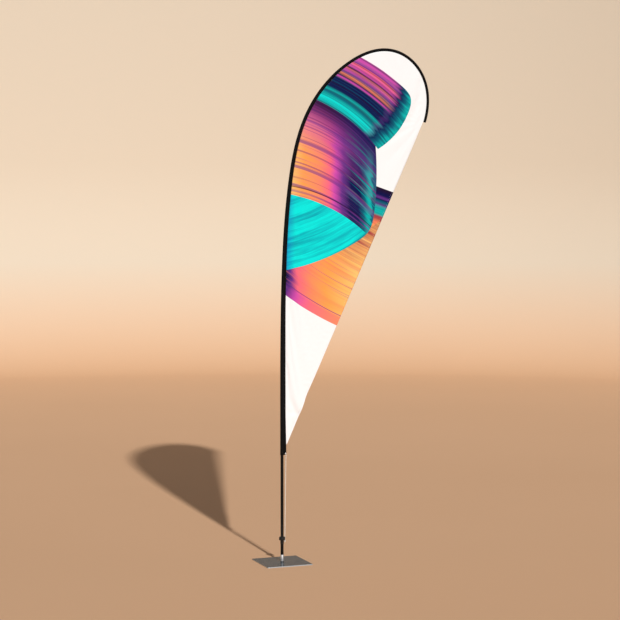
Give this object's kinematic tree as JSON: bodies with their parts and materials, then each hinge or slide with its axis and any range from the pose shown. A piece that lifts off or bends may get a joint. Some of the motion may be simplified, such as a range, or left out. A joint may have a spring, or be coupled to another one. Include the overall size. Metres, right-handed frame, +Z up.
{
  "type": "teardrop flag",
  "caption": "Teardrop-shaped flag on an arched sectional pole, standing on a flat square base plate with a ball-bearing spigot, kept tight by an elastic cord from a sliding collar.",
  "frame": {"origin": "middle of the base plate's underside, on the pole's axis", "axes": "+Z up along the pole, +X in the flag's plane towards its nose, +Y square to the flag"},
  "size_m": [1.1599, 0.3, 3.2458],
  "materials": {
    "plate_steel": "satin grey",
    "spigot_steel": "brushed",
    "bearing_steel": "ground and bright",
    "cage_brass": "stamped",
    "bush_nylon": "moulded, natural white",
    "pole_black": "black, satin",
    "fibreglass_black": "black glass-fibre rod",
    "coupler_aluminium": "turned",
    "cap_rubber": "matte",
    "sleeve_fabric": "black woven polyester",
    "flag_fabric": "printed polyester, smooth",
    "eyelet_nickel": "nickel-plated",
    "cord_elastic": "braided elastic, cream",
    "collar_plastic": "black moulded"
  },
  "bodies": {
    "base": {"base_plate": "plate_steel", "axle": "bearing_steel", "axle_nut": "bearing_steel", "axle_washer": "bearing_steel", "bearing_inner_ring": "bearing_steel"},
    "ball_cage": {"bearing_cage": "cage_brass", "bearing_ball_1": "bearing_steel", "bearing_ball_2": "bearing_steel", "bearing_ball_3": "bearing_steel", "bearing_ball_4": "bearing_steel", "bearing_ball_5": "bearing_steel", "bearing_ball_6": "bearing_steel", "bearing_ball_7": "bearing_steel", "bearing_ball_8": "bearing_steel"},
    "rotator": {"spigot": "spigot_steel", "spigot_bush": "bush_nylon", "bearing_outer_ring": "bearing_steel", "bearing_circlip": "bearing_steel"},
    "pole": {"pole_section_1": "pole_black", "pole_section_2": "pole_black", "pole_section_3": "fibreglass_black", "pole_section_4": "fibreglass_black", "coupler_1": "coupler_aluminium", "coupler_2": "coupler_aluminium", "tip_ferrule": "coupler_aluminium", "tip_cap": "cap_rubber", "pole_sleeve": "sleeve_fabric", "flag_panel": "flag_fabric", "eyelet": "eyelet_nickel", "eyelet_washer": "eyelet_nickel", "elastic_cord": "cord_elastic"},
    "collar": {"cord_collar": "collar_plastic", "collar_screw": "bearing_steel"}
  },
  "joints": [
    {"name": "spin", "type": "hinge", "parent": "base", "child": "rotator", "pos_m": [0, 0, 0.0081], "axis": [0, 0, 1], "continuous": true},
    {"name": "cage_roll", "type": "hinge", "parent": "base", "child": "ball_cage", "pos_m": [0, 0, 0.0133], "axis": [0, 0, 1], "continuous": true},
    {"name": "pole_lift", "type": "slide", "parent": "rotator", "child": "pole", "axis": [0, 0, 1], "range_m": [0, 0.1]},
    {"name": "collar_slide", "type": "slide", "parent": "pole", "child": "collar", "axis": [0, 0, 1], "range_m": [0, 0.1], "deforming": ["elastic_cord"]}
  ],
  "couplings": [
    {"joint": "cage_roll", "follows": "spin", "ratio": 0.6}
  ]
}
